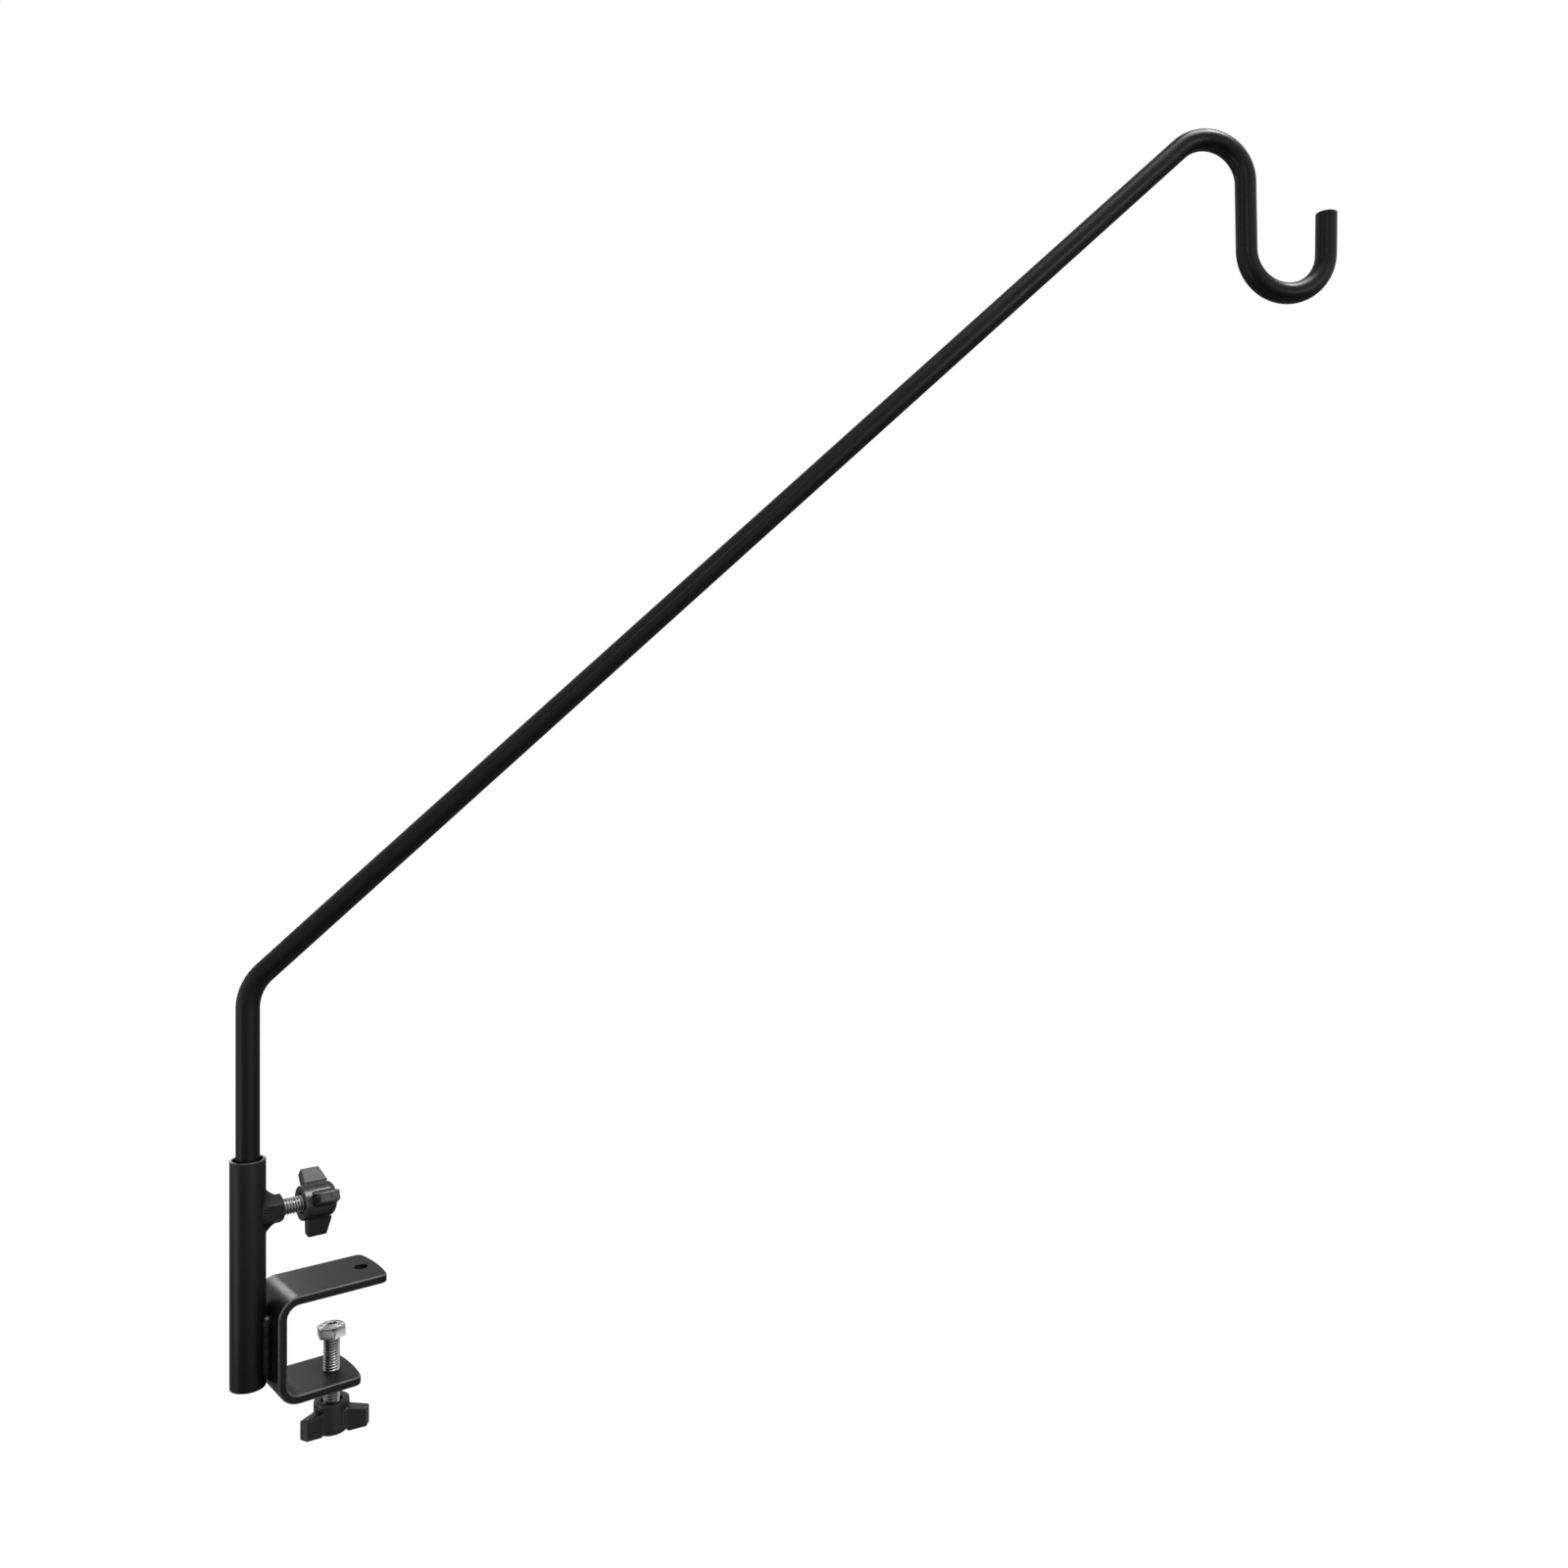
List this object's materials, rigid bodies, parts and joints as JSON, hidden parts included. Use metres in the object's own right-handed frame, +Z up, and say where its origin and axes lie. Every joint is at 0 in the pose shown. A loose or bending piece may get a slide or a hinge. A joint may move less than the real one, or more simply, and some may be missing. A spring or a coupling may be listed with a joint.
{
  "type": "clamp-on deck hook",
  "caption": "Bent steel rod with an open hook at its end, sliding and turning in a sleeve welded to a C clamp that grips a deck rail; winged knobs lock the rod and tighten the clamp.",
  "frame": {"origin": "on the underside of the clamp's top plate, straight above the axis of the clamp screw, where the plate rests on the rail", "axes": "+Z up along the sleeve, +X from the sleeve towards the clamp's open side, +Y across the clamp"},
  "size_m": [0.5525, 0.3759, 0.7764],
  "materials": {
    "coated_steel": "satin black powder coat",
    "knob_plastic": "moulded black plastic with a fine grain",
    "zinc_steel": "bright zinc plate",
    "insert_steel": "dark steel",
    "cap_plastic": "soft black plastic"
  },
  "bodies": {
    "clamp": {"clamp_bracket": "coated_steel", "sleeve_tube": "coated_steel", "bracket_weld_left": "coated_steel", "bracket_weld_right": "coated_steel", "lock_nut": "coated_steel", "lock_nut_weld": "coated_steel"},
    "arm_foot": {"arm_foot_cap": "cap_plastic"},
    "arm": {"hook_arm": "coated_steel"},
    "lock_carrier": {"lock_knob_insert": "insert_steel"},
    "lock_screw": {"lock_stud": "zinc_steel", "lock_knob": "knob_plastic"},
    "clamp_carrier": {"clamp_knob_insert": "insert_steel"},
    "clamp_screw": {"clamp_bolt": "zinc_steel", "clamp_knob": "knob_plastic"}
  },
  "joints": [
    {"name": "arm_height", "type": "slide", "parent": "clamp", "child": "arm_foot", "axis": [0, 0, 1], "range_m": [-0.075, 0.075]},
    {"name": "arm_swivel", "type": "hinge", "parent": "arm_foot", "child": "arm", "pos_m": [-0.04702, 0, 0], "axis": [0, 0, 1], "continuous": true},
    {"name": "lock_travel", "type": "slide", "parent": "clamp", "child": "lock_carrier", "axis": [1, 0, 0], "range_m": [0, 0.008]},
    {"name": "lock_turn", "type": "hinge", "parent": "lock_carrier", "child": "lock_screw", "pos_m": [0, 0, 0.0497], "axis": [1, 0, 0], "range_deg": [0, 1810]},
    {"name": "clamp_travel", "type": "slide", "parent": "clamp", "child": "clamp_carrier", "axis": [0, 0, 1], "range_m": [-0.019, 0.012]},
    {"name": "clamp_turn", "type": "hinge", "parent": "clamp_carrier", "child": "clamp_screw", "pos_m": [0, 0, 0], "axis": [0, 0, 1], "range_deg": [-4305, 2720]}
  ],
  "couplings": [
    {"joint": "lock_travel", "follows": "lock_turn", "m_per_rad": 0.00025266},
    {"joint": "clamp_travel", "follows": "clamp_turn", "m_per_rad": 0.00025266}
  ]
}
